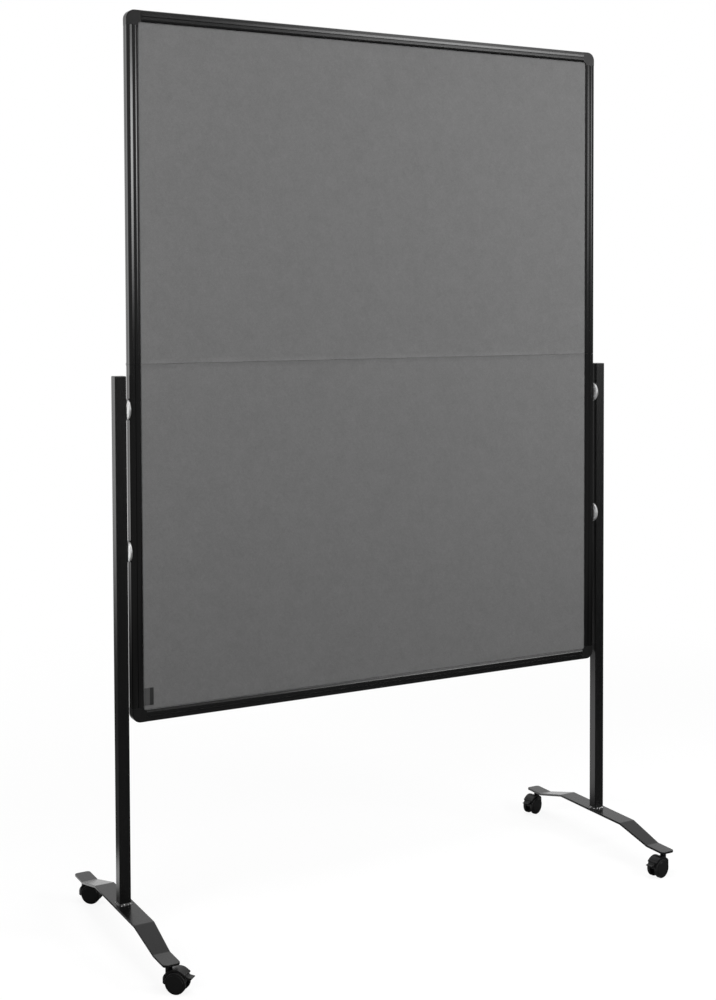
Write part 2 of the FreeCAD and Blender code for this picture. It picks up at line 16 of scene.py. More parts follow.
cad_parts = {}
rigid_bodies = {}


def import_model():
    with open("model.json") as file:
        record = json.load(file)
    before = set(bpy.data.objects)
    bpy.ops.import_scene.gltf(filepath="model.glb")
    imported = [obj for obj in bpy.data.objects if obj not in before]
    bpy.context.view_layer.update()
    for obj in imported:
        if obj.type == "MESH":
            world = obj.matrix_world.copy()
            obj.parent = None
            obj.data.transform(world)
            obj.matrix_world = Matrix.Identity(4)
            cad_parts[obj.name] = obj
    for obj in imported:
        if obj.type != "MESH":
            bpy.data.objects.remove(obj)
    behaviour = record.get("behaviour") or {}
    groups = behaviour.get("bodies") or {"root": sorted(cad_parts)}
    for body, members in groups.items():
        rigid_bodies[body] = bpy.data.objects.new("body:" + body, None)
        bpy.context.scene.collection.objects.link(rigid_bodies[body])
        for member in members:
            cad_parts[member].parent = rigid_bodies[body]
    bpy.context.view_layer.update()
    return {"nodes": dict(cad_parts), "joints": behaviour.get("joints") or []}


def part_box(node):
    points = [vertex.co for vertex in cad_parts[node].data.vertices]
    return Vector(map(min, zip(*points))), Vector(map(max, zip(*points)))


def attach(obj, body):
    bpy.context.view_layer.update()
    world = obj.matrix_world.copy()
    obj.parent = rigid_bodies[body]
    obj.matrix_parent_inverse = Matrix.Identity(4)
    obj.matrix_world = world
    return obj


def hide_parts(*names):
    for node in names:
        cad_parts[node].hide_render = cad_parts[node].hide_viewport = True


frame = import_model()
nodes = frame["nodes"]

# %% [markdown]
# ## Camera
# The photograph keeps the posts upright although the camera looks slightly down, and the object
# sits off centre. That is what a shifted lens does, so the camera gets a lens, a small tilt and a
# shift instead of a larger tilt. The numbers were fitted to the edges of the board, the posts and
# the feet.

# %% Camera at the photograph's place
scene = bpy.context.scene
scene.view_settings.view_transform = "Standard"
camera_lens = bpy.data.cameras.new("photo_camera")
camera_lens.sensor_width = 36.0
camera_lens.lens = 55.97
camera_lens.shift_x = -0.0574
camera_lens.shift_y = -0.1399
camera = bpy.data.objects.new("photo_camera", camera_lens)
camera.location = (-1.7018, -3.1303, 1.3655)
camera.rotation_euler = [math.radians(angle) for angle in (87.76, 0.12, -29.89)]
scene.collection.objects.link(camera)
scene.camera = camera
print("camera at", tuple(camera.location), "with a lens of", camera_lens.lens, "mm")

# %% [markdown]
# ## Shader sums in plain Python
# A finish is a tree of nodes. Wiring every Math node by hand hides the idea behind it, so one small
# class wraps an output socket and turns Python's + - * and ** into Math nodes. The sign | takes the
# larger of two. Every node that is added comes from one method, which takes the node's type, its
# settings, and what goes into its sockets.

# %% A wire that can be added and multiplied
class Wire:
    """An output socket of a node tree that takes part in sums."""

    def __init__(self, tree, socket):
        self.tree = tree
        self.socket = socket

    @classmethod
    def node(cls, tree, kind, settings, sockets, output=0):
        """Adds a node, sets it up, feeds its sockets, and returns one of its outputs."""
        made = tree.nodes.new(kind)
        for name, value in settings.items():
            setattr(made, name, value)
        for name, value in sockets.items():
            if isinstance(value, Wire):
                tree.links.new(value.socket, made.inputs[name])
            else:
                made.inputs[name].default_value = value
        return cls(tree, made.outputs[output])

    def sum_with(self, operation, first, second):
        """One Math node with two inputs."""
        settings = {"operation": operation}
        return Wire.node(self.tree, "ShaderNodeMath", settings, {0: first, 1: second})

    def __add__(self, other):
        return self.sum_with("ADD", self, other)

    def __radd__(self, other):
        return self.sum_with("ADD", other, self)

    def __sub__(self, other):
        return self.sum_with("SUBTRACT", self, other)

    def __rsub__(self, other):
        return self.sum_with("SUBTRACT", other, self)

    def __mul__(self, other):
        return self.sum_with("MULTIPLY", self, other)

    def __rmul__(self, other):
        return self.sum_with("MULTIPLY", other, self)

    def __pow__(self, other):
        return self.sum_with("POWER", self, other)

    def __rpow__(self, other):
        return self.sum_with("POWER", other, self)

    def __or__(self, other):
        return self.sum_with("MAXIMUM", self, other)

    def __ror__(self, other):
        return self.sum_with("MAXIMUM", other, self)

    def feed(self, node, name):
        """Links this wire into a socket of a node that is already there."""
        self.tree.links.new(self.socket, node.inputs[name])


print("wires ready")

# %% Helpers for shader sums
def ease(value, start, end):
    """0 before start, 1 after end, and a soft step between them."""
    settings = {"interpolation_type": "SMOOTHSTEP"}
    sockets = {"Value": value, "From Min": start, "From Max": end}
    return Wire.node(value.tree, "ShaderNodeMapRange", settings, sockets)


def parts(vector):
    """The x, y and z of a vector, as three wires."""
    split = Wire.node(vector.tree, "ShaderNodeSeparateXYZ", {}, {"Vector": vector}, "X")
    return [Wire(vector.tree, split.socket.node.outputs[name]) for name in "XYZ"]


def grey(value):
    """A colour of one number, as a colour socket takes it."""
    return (value, value, value, 1.0)


print("helpers for shader sums ready")

# %% [markdown]
# ## Floor and studio
# The photograph has a pure white background. Lamps strong enough for that would bleach the object,
# so the world and the floor only look white to the camera, by the Light Path node, and light the
# object gently. The floor still takes shadows: near the object it is a dull matt floor with a glow,
# and further out the glow takes over, so that no horizon shows. What black paint looks like is all
# in what it mirrors. Here that is a white backdrop low behind the object, pale floor behind it,
# which is cut short at the left, and a dim room in front. A softbox with soft edges stands at the
# room's right, just above eye level, so that the upper half of the frame shines and the rest is
# dark. A weaker one hangs overhead, for edges that face upwards.

# %% World
def seen_directly(tree):
    """The rays that show a background: to the camera, off gloss and through glass."""
    names = ("Is Camera Ray", "Is Glossy Ray", "Is Transmission Ray")
    return [Wire.node(tree, "ShaderNodeLightPath", {}, {}, name) for name in names]


ambient = 0.13
front_dimness = 0.13
front_rise = 0.22
backdrop_fall = 0.34
softbox_brightness = 8.8
softbox_right_fall = 0.8
softbox_upper_fall = 0.75
overhead_brightness = 3.0
studio = bpy.data.worlds.new("studio")
scene.world = studio
studio.use_nodes = True
sky = studio.node_tree
to_camera, off_gloss, through_glass = seen_directly(sky)
direction = Wire.node(sky, "ShaderNodeTexCoord", {}, {}, "Generated")
across, away, up = parts(direction)
backdrop = ease(away, -0.1, 0.3) * (1 - backdrop_fall * ease(up, 0.12, 0.36))
room = front_dimness + front_rise * ease(up, -0.1, 0.1)
softbox = ease(across, 0.38, 0.50) * (1 - softbox_right_fall * ease(across, 0.52, 0.63))
softbox = softbox * (1 - ease(across, 0.64, 0.78)) * (1 - ease(away, -0.5, -0.3))
softbox = softbox * ease(up, -0.03, 0.10) * (1 - softbox_upper_fall * ease(up, 0.11, 0.17))
overhead = ease(up, 0.70, 0.82) * ease(across, 0.15, 0.35) * (1 - ease(away, 0.0, 0.25))
mirrored_studio = backdrop | room | softbox * softbox_brightness | overhead * overhead_brightness
plain = to_camera | through_glass
shade = plain + (1 - plain) * (off_gloss * mirrored_studio + (1 - off_gloss) * ambient)
sky.nodes["Background"].inputs["Color"].default_value = grey(1.0)
shade.feed(sky.nodes["Background"], "Strength")
print("world: ambient", ambient, "softbox", softbox_brightness, "overhead", overhead_brightness)

# %% Floor
def between(share, first, second):
    """The colour that lies that share of the way from the first to the second."""
    sockets = {0: share, 6: first, 7: second}
    return Wire.node(share.tree, "ShaderNodeMix", {"data_type": "RGBA"}, sockets, 2)


floor_size = 60.0
near_glow = 0.88
floor_shade = 0.14
strip_depth_left = 0.42
strip_depth_more = 2.4
bpy.ops.object.select_all(action="DESELECT")
bpy.ops.mesh.primitive_plane_add(size=floor_size)
floor = bpy.context.object
floor.name = "studio_floor"
floor_finish = bpy.data.materials.new("studio_floor")
floor_finish.use_nodes = True
tree = floor_finish.node_tree
shader = tree.nodes["Principled BSDF"]
to_camera, off_gloss, through_glass = seen_directly(tree)
place = Wire.node(tree, "ShaderNodeTexCoord", {}, {}, "Object")
reach = Wire.node(tree, "ShaderNodeVectorMath", {"operation": "LENGTH"}, {0: place}, 1)
far = ease(reach, 1.0, 3.2)
sideways, behind = parts(place)[:2]
strip_depth = strip_depth_left + strip_depth_more * ease(sideways, -0.64, -0.5)
strip_behind = ease(behind, 0.26, 0.36) * (1 - ease(behind - strip_depth, 0.0, 0.16))
far_front = front_dimness * (1 - ease(behind, -4.0, -1.0))
mirrored_floor = strip_behind | ease(behind, 1.8, 6.5) | far_front
seen_glow = (to_camera | through_glass) * (near_glow + (1 - near_glow) * far)
glow = seen_glow | off_gloss * mirrored_floor
between(glow, grey(0.0), grey(1.0)).feed(shader, "Emission Color")
between(far, grey(floor_shade), grey(0.0)).feed(shader, "Base Color")
shader.inputs["Emission Strength"].default_value = 1.0
shader.inputs["Roughness"].default_value = 1.0
shader.inputs["Specular IOR Level"].default_value = 0.0
floor.data.materials.append(floor_finish)
print("floor:", tuple(floor.dimensions))

# %% [markdown]
# ## Lamps
# Felt needs soft even light, and gloss has its softbox in the world, so the lamps here light
# surfaces and don't show in reflections. The key stands at the right, and a fill at the left evens
# the felt out. A small lamp at the left, in the board's plane, reaches the left clamp wheels in a
# narrow fan. The board keeps it off the right ones, and the felt on both faces lies edge on to it.

# %% Lamps
def softlight(name, place, aim, size, power, spread=180.0):
    """A square soft light at a place, aimed at a point, whose light fans out by that angle."""
    lamp = bpy.data.lights.new(name, "AREA")
    lamp.size = size
    lamp.energy = power
    lamp.spread = math.radians(spread)
    holder = bpy.data.objects.new(name, lamp)
    holder.location = place
    holder.rotation_euler = (Vector(aim) - Vector(place)).to_track_quat("-Z", "Y").to_euler()
    holder.visible_camera = False
    holder.visible_glossy = False
    scene.collection.objects.link(holder)


softlight("key_front_right", (1.35, -2.0, 1.65), (0.3, 0.0, 1.55), 0.9, 36.5)
softlight("fill_front_left", (-1.9, -1.3, 1.55), (-0.5, 0.0, 1.5), 0.9, 17.5)
softlight("left", (-3.2, 0.0, 1.02), (-0.6, 0.0, 1.0), 0.03, 9.0, 35.0)
softlight("top", (0.0, -0.4, 4.2), (0.0, 0.0, 0.0), 2.6, 90.0)
softlight("behind", (-1.5, 4.0, 2.6), (0.0, 0.0, 1.25), 2.0, 60.0)

# %% [markdown]
# ## Finishes
# Each finish is procedural and reads Object coordinates in metres, so a scale of 400 makes spots of
# about 2.5 mm. A number that is the same all over goes straight onto the shader's socket. What
# varies feeds only the colour, the roughness and the bump. Black surfaces need the varied roughness
# most, because their look is all reflection.

# %% Helpers for finishes
def new_finish(name, roughness, specular=0.5, metallic=0.0, refraction=1.5):
    """A material with its shader's plain numbers set, and its Object coordinates."""
    material = bpy.data.materials.new(name)
    material.use_nodes = True
    shader = material.node_tree.nodes["Principled BSDF"]
    shader.inputs["Roughness"].default_value = roughness
    shader.inputs["Specular IOR Level"].default_value = specular
    shader.inputs["Metallic"].default_value = metallic
    shader.inputs["IOR"].default_value = refraction
    place = Wire.node(material.node_tree, "ShaderNodeTexCoord", {}, {}, "Object")
    return material, shader, place


def stretched(place, lengths, turn=(0.0, 0.0, 0.0)):
    """Coordinates turned and stretched, so that a pattern gets those lengths on its own axes."""
    sockets = {"Vector": place, "Rotation": turn, "Scale": lengths}
    return Wire.node(place.tree, "ShaderNodeMapping", {"vector_type": "TEXTURE"}, sockets)


def spots(place, scale, detail=2.0, roughness=0.5):
    """Soft noise between 0 and 1 with spots of about 1 / scale metres."""
    sockets = {"Vector": place, "Scale": scale, "Detail": detail, "Roughness": roughness}
    return Wire.node(place.tree, "ShaderNodeTexNoise", {}, sockets)


def raised(height, distance, strength=1.0):
    """A bump of that height in metres."""
    sockets = {"Height": height, "Distance": distance, "Strength": strength}
    return Wire.node(height.tree, "ShaderNodeBump", {}, sockets)


print("finish helpers ready")

# %% [markdown]
# ### Felt
# The felt is pressed from grey fibres. Close up it is a tangle of short strands, and from a few
# metres only a faint mottle is left. Strands are noise that is stretched sixteen times along one
# direction. Four such layers at different turns cross each other, and slow cloudy layers give the
# mottle. An image of felt would repeat over a board of this size, and noise doesn't.

# %% Felt finish
felt, shader, place = new_finish("grey_felt", 0.95, specular=0.2)
strand_stretch = (16.0, 1.0, 1.0)
layers = []
for turn, scale in ((12, 1500), (58, 1800), (-35, 1650), (-78, 1400)):
    turned = stretched(place, strand_stretch, (0.0, math.radians(turn), 0.0))
    layers.append(spots(turned, scale, 2.0, 0.6))
strands = sum(layers[1:], layers[0]) * (1 / len(layers))
mottle = spots(place, 38.0, 4.0, 0.65)
cloud = spots(place, 7.0, 2.0)
tone = ease(strands, 0.32, 0.68) * 0.55 + mottle * 0.35 + cloud * 0.1
between(tone, grey(0.12), grey(0.234)).feed(shader, "Base Color")
raised(strands + mottle * 0.4, 0.0009, 0.6).feed(shader, "Normal")
shader.inputs["Sheen Weight"].default_value = 0.12
shader.inputs["Sheen Roughness"].default_value = 0.5
print("finish:", felt.name)

# %% [markdown]
# ### Black anodised aluminium
# The frame is an extruded profile. The die leaves very fine lines along its length, and anodising
# leaves them glossy. The lines are noise stretched along the bar, so stiles and rails each need
# their own direction. The crest of the outer bead is a fine ridge between two nearly flat sides,
# and mirrors dark on one side and light on the other. That is less than half a millimetre, so the
# bump has it: a roof over the distance from the board's outer edge.

# %% Anodised finishes
frame_low = Vector((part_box("stile_lower_left")[0].x, 0.0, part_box("bottom_rail")[0].z))
frame_high = Vector((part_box("stile_lower_right")[1].x, 0.0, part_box("top_rail")[1].z))
ridge_line = 0.0072
ridge_reach = 0.005
die_line_stretch = 250.0
die_line_height = 0.000008


def unsigned(value):
    """A value without its sign."""
    return (value * value) ** 0.5


def anodised(name, along_bar, across_bar, ridge_height, roughness):
    """Black anodised aluminium with die lines along one axis and a ridge across another."""
    material, shader, place = new_finish(name, roughness, refraction=1.6)
    lengths = [1.0, 1.0, 1.0]
    lengths[along_bar] = die_line_stretch
    lines = spots(stretched(place, lengths), 2600.0, 2.0)
    haze = spots(place, 14.0, 3.0)
    middle = (frame_low[across_bar] + frame_high[across_bar]) / 2
    reach = (frame_high[across_bar] - frame_low[across_bar]) / 2
    from_ridge = (reach - ridge_line) - unsigned(parts(place)[across_bar] - middle)
    roof = (1 - unsigned(from_ridge) * (1 / ridge_reach)) | 0.0
    (roughness - 0.03 + lines * 0.03 + haze * 0.03).feed(shader, "Roughness")
    between(lines, grey(0.003), grey(0.005)).feed(shader, "Base Color")
    raised(roof * ridge_height + lines * die_line_height, 1.0).feed(shader, "Normal")
    return material


anodised_stile = anodised(
    "anodised_stile", along_bar=2, across_bar=0, ridge_height=0.0004, roughness=0.08)
anodised_rail = anodised(
    "anodised_rail", along_bar=0, across_bar=2, ridge_height=0.00005, roughness=0.16)
print("finishes:", anodised_stile.name, anodised_rail.name)

# %% [markdown]
# ### Moulded plastics and powder coat
# Frame corners, plugs and casters are moulded in spark-eroded tools, which print a fine even grain
# on them. The steel posts and feet are powder coated: the powder melts into a skin with a soft
# ripple that is called orange peel. Both are noise, fine for the grain and slower for the ripple,
# because noise needs no unwrapping and runs round every edge without a seam.

# %% Plastic and paint finishes
def moulded(name, dark, light, roughness, grain_scale=2600.0):
    """Black plastic with the fine grain of a spark-eroded mould."""
    material, shader, place = new_finish(name, roughness)
    grain = spots(place, grain_scale, 3.0, 0.7)
    wipe = spots(place, 30.0, 2.0)
    (roughness - 0.06 + grain * 0.07 + wipe * 0.06).feed(shader, "Roughness")
    between(wipe, grey(dark), grey(light)).feed(shader, "Base Color")
    raised(grain, 0.00003).feed(shader, "Normal")
    return material


frame_plastic = moulded("frame_plastic", 0.003, 0.005, 0.30)
caster_plastic = moulded("caster_plastic", 0.003, 0.005, 0.34)
tread_rubber = moulded("tread_rubber", 0.006, 0.010, 0.55, 1800.0)

powder_coat, shader, place = new_finish("powder_coat", 0.3)
ripple = spots(place, 420.0, 1.0)
fleck = spots(place, 5200.0, 1.0)
(0.18 + ripple * 0.05 + fleck * 0.06).feed(shader, "Roughness")
between(ripple, grey(0.003), grey(0.0045)).feed(shader, "Base Color")
raised(ripple + fleck * 0.12, 0.00004).feed(shader, "Normal")
print("finishes:", frame_plastic.name, caster_plastic.name, tread_rubber.name, powder_coat.name)

# %% [markdown]
# ### Metals
# The clamp wheels are turned on a lathe, which leaves fine rings round the axis. A ring pattern has
# to know the axis of its own wheel, wherever the wheel sits, so the new wheels carry an attribute
# named turning: each point's place about the axis, which runs along x. Studs and stems are plain
# drawn steel. The welds at the posts' feet are painted along with the posts. Pale flecks in the
# weld's colour are painted glints, which stand in for the small highlights on the beads.

# %% Metal finishes
turned_metal, shader, place = new_finish("turned_metal", 0.4, metallic=0.7)
turning = Wire.node(
    turned_metal.node_tree, "ShaderNodeAttribute", {"attribute_name": "turning"}, {}, "Vector")
side, rise = parts(turning)[1:]
radius = (side * side + rise * rise) ** 0.5
ring_line = Wire.node(turned_metal.node_tree, "ShaderNodeCombineXYZ", {}, {"X": radius})
rings = spots(ring_line, 3400.0, 2.0, 0.6)
stain = spots(place, 60.0, 3.0)
(0.30 + rings * 0.10 + stain * 0.05).feed(shader, "Roughness")
between(stain, grey(0.60), grey(0.68)).feed(shader, "Base Color")
raised(rings, 0.00001).feed(shader, "Normal")

drawn_steel, shader, place = new_finish("drawn_steel", 0.3, metallic=1.0)
streaks = spots(place, 900.0, 2.0)
(0.24 + streaks * 0.14).feed(shader, "Roughness")
between(streaks, grey(0.42), grey(0.55)).feed(shader, "Base Color")

weld_bead, shader, place = new_finish("weld_bead", 0.3)
scales = spots(place, 500.0, 2.0)
# Pale flecks in the base colour are painted glints, standing in for small highlights on the bead.
painted_glints = ease(spots(place, 330.0, 1.0), 0.60, 0.66)
between(painted_glints, grey(0.006), grey(0.75)).feed(shader, "Base Color")
raised(scales, 0.0004).feed(shader, "Normal")

blackened_steel, shader, place = new_finish("blackened_steel", 0.4, metallic=1.0)
soot = spots(place, 1200.0, 2.0)
(0.32 + soot * 0.16).feed(shader, "Roughness")
between(soot, grey(0.02), grey(0.045)).feed(shader, "Base Color")
print("finishes:", turned_metal.name, drawn_steel.name, weld_bead.name, blackened_steel.name)

# %% [markdown]
# ### Core board and tag
# The core is a light paper board, which shows only at the fold's open edges. The tag at the board's
# lower left is a small woven label with a dark band at its free end. It is left blank. Threads this
# fine needn't be modelled, so the weave is in the colour and the bump: two sine waves at right
# angles, one rib for each thread.

# %% Board and tag finishes
core_board, shader, place = new_finish("paper_board", 0.85, specular=0.2)
pulp = spots(place, 700.0, 4.0, 0.7)
between(pulp, (0.30, 0.25, 0.18, 1.0), (0.46, 0.40, 0.31, 1.0)).feed(shader, "Base Color")
raised(pulp, 0.0002).feed(shader, "Normal")


def ribs(value, pitch):
    """Rounded ribs between 0 and 1 across a coordinate."""
    angle = value * (2 * math.pi / pitch)
    wave = Wire.node(value.tree, "ShaderNodeMath", {"operation": "SINE"}, {0: angle})
    return wave * 0.5 + 0.5


def woven(name, dark, light, pitch, band=None):
    """Cloth of fine threads that cross in the board's plane, darker right of a band's start."""
    material, shader, place = new_finish(name, 0.8, specular=0.3)
    x, _, z = parts(place)
    weave = ribs(x, pitch) * ribs(z, pitch * 0.8)
    fuzz = spots(place, 2500.0, 2.0)
    tone = between(weave * 0.6 + fuzz * 0.4, grey(dark), grey(light))
    if band is not None:
        tone = between(ease(x, band - pitch / 2, band + pitch / 2), tone, grey(dark * 0.45))
    tone.feed(shader, "Base Color")
    raised(weave + fuzz * 0.3, 0.00012).feed(shader, "Normal")
    return material


tag_low = Vector((-0.5746, 0.0, 0.505))
tag_high = Vector((-0.5531, 0.0, 0.542))
tag_band = 0.008
tag_cloth = woven("tag_cloth", 0.075, 0.125, 0.0006, tag_high.x - tag_band)
tag_thread = woven("tag_thread", 0.05, 0.09, 0.0004)
print("finishes:", core_board.name, tag_cloth.name, tag_thread.name)

# %% [markdown]
# ## Finishes on the CAD solids
# Every solid gets its finish here, by the words in its name. The order matters: the first match
# wins, so the more special words stand first.

# %% Dress the solids
finish_of_word = [
    ("felt", felt),
    ("core", core_board),
    ("corner", frame_plastic),
    ("plug", frame_plastic),
    ("rail", anodised_rail),
    ("insert", drawn_steel),
    ("stile", anodised_stile),
    ("hinge_pin", drawn_steel),
    ("hinge", powder_coat),
    ("clamp_wheel", turned_metal),
    ("stud", drawn_steel),
    ("stem", drawn_steel),
    ("pins", blackened_steel),
    ("bush", powder_coat),
    ("weld", weld_bead),
    ("foot", powder_coat),
    ("post", powder_coat),
    ("caster", caster_plastic),
]
for name, solid in nodes.items():
    finish = next(found for word, found in finish_of_word if word in name)
    solid.data.materials.clear()
    solid.data.materials.append(finish)
print("dressed", len(nodes), "solids")

# %% [markdown]
# ## Tools for modelling
# Operators act on whatever is selected, and loading has left the solids selected. So each piece
# starts with everything deselected, and inside edit mode the faces, edges or points to work on are
# picked in code, by their place or their normal. A finished piece has its place applied to its
# mesh, and its object stays at the origin.

# %% Modelling helpers
near = 1e-6


def fresh_start():
    """Leaves nothing selected, in object mode."""
    if bpy.context.mode != "OBJECT":
        bpy.ops.object.mode_set(mode="OBJECT")
    bpy.ops.object.select_all(action="DESELECT")


def started(name):
    """Names the primitive that was just added, and applies its place to its mesh."""
    piece = bpy.context.object
    piece.name = name
    piece.data.name = name
    bpy.ops.object.transform_apply(location=True, rotation=True, scale=True)
    return piece


def pick(piece, kind, wanted):
    """In edit mode, selects the points, edges or faces that wanted(item) accepts."""
    bpy.ops.mesh.select_mode(type=kind)
    bpy.ops.mesh.select_all(action="DESELECT")
    mesh = bmesh.from_edit_mesh(piece.data)
    mesh.normal_update()
    for item in {"VERT": mesh.verts, "EDGE": mesh.edges, "FACE": mesh.faces}[kind]:
        if wanted(item):
            item.select_set(True)
    mesh.select_flush_mode()
    bmesh.update_edit_mesh(piece.data)


def face_outwards():
    """In edit mode, merges doubled points and turns every face outwards."""
    bpy.ops.mesh.select_all(action="SELECT")
    bpy.ops.mesh.remove_doubles(threshold=near)
    bpy.ops.mesh.normals_make_consistent(inside=False)


def finished(piece, finishes, angle=35.0):
    """Leaves edit mode, smooths the shading below an angle and gives the piece its finishes."""
    if bpy.context.mode != "OBJECT":
        bpy.ops.object.mode_set(mode="OBJECT")
    bpy.ops.object.shade_smooth_by_angle(angle=math.radians(angle))
    for finish in finishes:
        piece.data.materials.append(finish)


def apply_modifier(piece, name):
    """Makes the piece active and applies that modifier."""
    bpy.context.view_layer.objects.active = piece
    bpy.ops.object.modifier_apply(modifier=name)


print("modelling helpers ready")

# %% [markdown]
# ## Felt sheets
# Each half of the board has a felt sheet on its front and on its back. The frame's lips nip three
# of its edges, so it stands a little proud between them and is pressed thin beside them, which
# leaves a dark line along the frame. At the fold its edge is cut and rounds over, and where two
# sheets meet that makes the fine seam. Bump on a flat plane can't round an edge over, so the sheets
# are modelled. A grid is made as large as the part between the lips, its three held edges are
# extruded outwards, and the whole is extruded to the felt's thickness. The held rim is then pressed
# in, and a cloud texture displaces the face by a few tenths of a millimetre, because pressed felt
# is never quite flat. It only moves inwards.

# %% Felt sizes
felt_rounding = 0.0009
felt_waves = 0.0004
felt_nip = 0.002
felt_press = 0.0013
felt_first_step = 0.3
felt_cells = (96, 60)
waves = bpy.data.textures.new("felt_waves", "CLOUDS")
waves.noise_scale = 0.05
lip_x = -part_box("stile_lower_left")[1].x
lip_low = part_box("bottom_rail")[1].z
lip_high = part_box("top_rail")[0].z
print("felt between the lips:", round(2 * lip_x, 4), "by", round(lip_high - lip_low, 4))

# %% Felt sheet
def felt_sheet(node, side, body):
    """The felt of one half on the front (side -1) or the back (side +1)."""
    low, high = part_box(node)
    size = high - low
    outer = low.y if side < 0 else high.y
    loft_x = lip_x - felt_nip
    loft_low = max(low.z, lip_low + felt_nip)
    loft_high = min(high.z, lip_high - felt_nip)
    seam = low.z if loft_low == low.z else high.z
    fresh_start()
    bpy.ops.mesh.primitive_grid_add(
        x_subdivisions=felt_cells[0], y_subdivisions=felt_cells[1], size=1.0,
        location=(0.0, outer, (loft_low + loft_high) / 2), rotation=(-side * math.pi / 2, 0.0, 0.0))
    bpy.context.object.scale = (2 * loft_x, loft_high - loft_low, 1.0)
    piece = started(node.replace("felt", "felt_sheet"))
    bpy.ops.object.mode_set(mode="EDIT")

    def on_line(edge, axis, place):
        return all(abs(point.co[axis] - place) < near for point in edge.verts)

    ends = [(0, -loft_x, low.x), (0, loft_x, high.x)]
    ends.append((2, loft_high, high.z) if seam == low.z else (2, loft_low, low.z))
    for axis, start, end in ends:
        pick(piece, "EDGE", lambda edge: edge.is_boundary and on_line(edge, axis, start))
        step = math.copysign(felt_nip * felt_first_step, end - start)
        for length in (step, end - start - step):
            move = [0.0, 0.0, 0.0]
            move[axis] = length
            bpy.ops.mesh.extrude_edges_move(TRANSFORM_OT_translate={"value": move})
    bpy.ops.mesh.select_all(action="SELECT")
    bpy.ops.mesh.extrude_region_move(TRANSFORM_OT_translate={"value": (0.0, -side * size.y, 0.0)})
    face_outwards()

    def lofted(point):
        inside = abs(point.co.x) < loft_x + near and loft_low - near < point.co.z < loft_high + near
        return inside and abs(point.co.y - outer) < near

    pick(piece, "VERT", lambda point: abs(point.co.y - outer) < near and not lofted(point))
    bpy.ops.transform.translate(value=(0.0, -side * felt_press, 0.0))
    pick(piece, "EDGE", lambda edge: on_line(edge, 2, seam) and all(map(lofted, edge.verts)))
    bpy.ops.mesh.bevel(offset=felt_rounding, segments=4, profile=0.5, affect="EDGES")
    bpy.ops.object.mode_set(mode="OBJECT")
    face = piece.vertex_groups.new(name="outer_face")
    face.add([point.index for point in piece.data.vertices if lofted(point)], 1.0, "REPLACE")
    displace = piece.modifiers.new("waves", "DISPLACE")
    displace.texture = waves
    displace.texture_coords = "LOCAL"
    displace.mid_level = 1.0
    displace.strength = felt_waves
    displace.vertex_group = face.name
    apply_modifier(piece, displace.name)
    finished(piece, [felt], 50.0)
    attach(piece, body)
    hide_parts(node)
    return piece


print("felt sheet ready to be made")

# %% Four felt sheets
for half, body in (("lower", "stand"), ("upper", "upper_half")):
    for face, side in (("front", -1), ("back", 1)):
        node = f"felt_{face}_{half}"
        felt_sheet(node, side, body)

# %% [markdown]
# ## Tag
# A small woven label is sewn onto the felt at the board's lower left, right beside the frame, and
# its free edge lifts a little. The label starts as a grid like the felt. Its free edge is pulled
# out with proportional editing, which takes the points near it along, and gets a rounded rim, so
# that it casts a shadow as a flat plane couldn't. A row of stitches holds its other edge: one
# stitch, arrayed.

# %% Tag
tag_thickness = 0.0006
tag_lift = 0.0009
tag_lift_reach = 0.011
tag_rim = 0.0002
sharp_angle = 1.0
tag_size = tag_high - tag_low
tag_middle = (tag_low + tag_high) / 2
felt_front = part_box("felt_front_lower")[0].y

fresh_start()
bpy.ops.mesh.primitive_grid_add(
    x_subdivisions=16, y_subdivisions=24, size=1.0,
    location=(tag_middle.x, felt_front - tag_thickness, tag_middle.z),
    rotation=(math.pi / 2, 0.0, 0.0))
bpy.context.object.scale = (tag_size.x, tag_size.z, 1.0)
tag = started("blank_tag")
bpy.ops.object.mode_set(mode="EDIT")
bpy.ops.mesh.select_all(action="SELECT")
bpy.ops.mesh.extrude_region_move(TRANSFORM_OT_translate={"value": (0.0, tag_thickness, 0.0)})
face_outwards()
pick(tag, "VERT", lambda point: point.co.x > tag_high.x - near)
bpy.ops.transform.translate(
    value=(0.0, -tag_lift, 0.0), use_proportional_edit=True,
    proportional_edit_falloff="SMOOTH", proportional_size=tag_lift_reach)
pick(tag, "EDGE", lambda edge: edge.calc_face_angle(0.0) > sharp_angle)
bpy.ops.mesh.bevel(offset=tag_rim, segments=2, profile=0.5, affect="EDGES")
finished(tag, [tag_cloth], 50.0)
print("tag in metres:", tuple(tag.dimensions))

# %% Stitches
mostly = 0.9
stitch_radius = 0.0003
stitch_length = 0.0028
stitch_pitch = 0.0046
stitch_count = 8
stitch_margin = (0.003, 0.0024)
fresh_start()
bpy.ops.mesh.primitive_cylinder_add(
    vertices=8, radius=stitch_radius, depth=stitch_length,
    location=(tag_low.x + stitch_margin[0], felt_front - tag_thickness - stitch_radius * 0.4,
              tag_low.z + stitch_margin[1]))
stitches = started("tag_stitches")
bpy.ops.object.mode_set(mode="EDIT")
pick(stitches, "FACE", lambda face: abs(face.normal.z) > mostly)
bpy.ops.mesh.inset(thickness=stitch_radius * 0.5, depth=stitch_radius * 0.6)
finished(stitches, [tag_thread], 60.0)
row = stitches.modifiers.new("row", "ARRAY")
row.count = stitch_count
row.use_relative_offset = False
row.use_constant_offset = True
row.constant_offset_displace = (0.0, 0.0, stitch_pitch)
apply_modifier(stitches, row.name)

for piece in (tag, stitches):
    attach(piece, "stand")
print("stitches:", stitch_count)

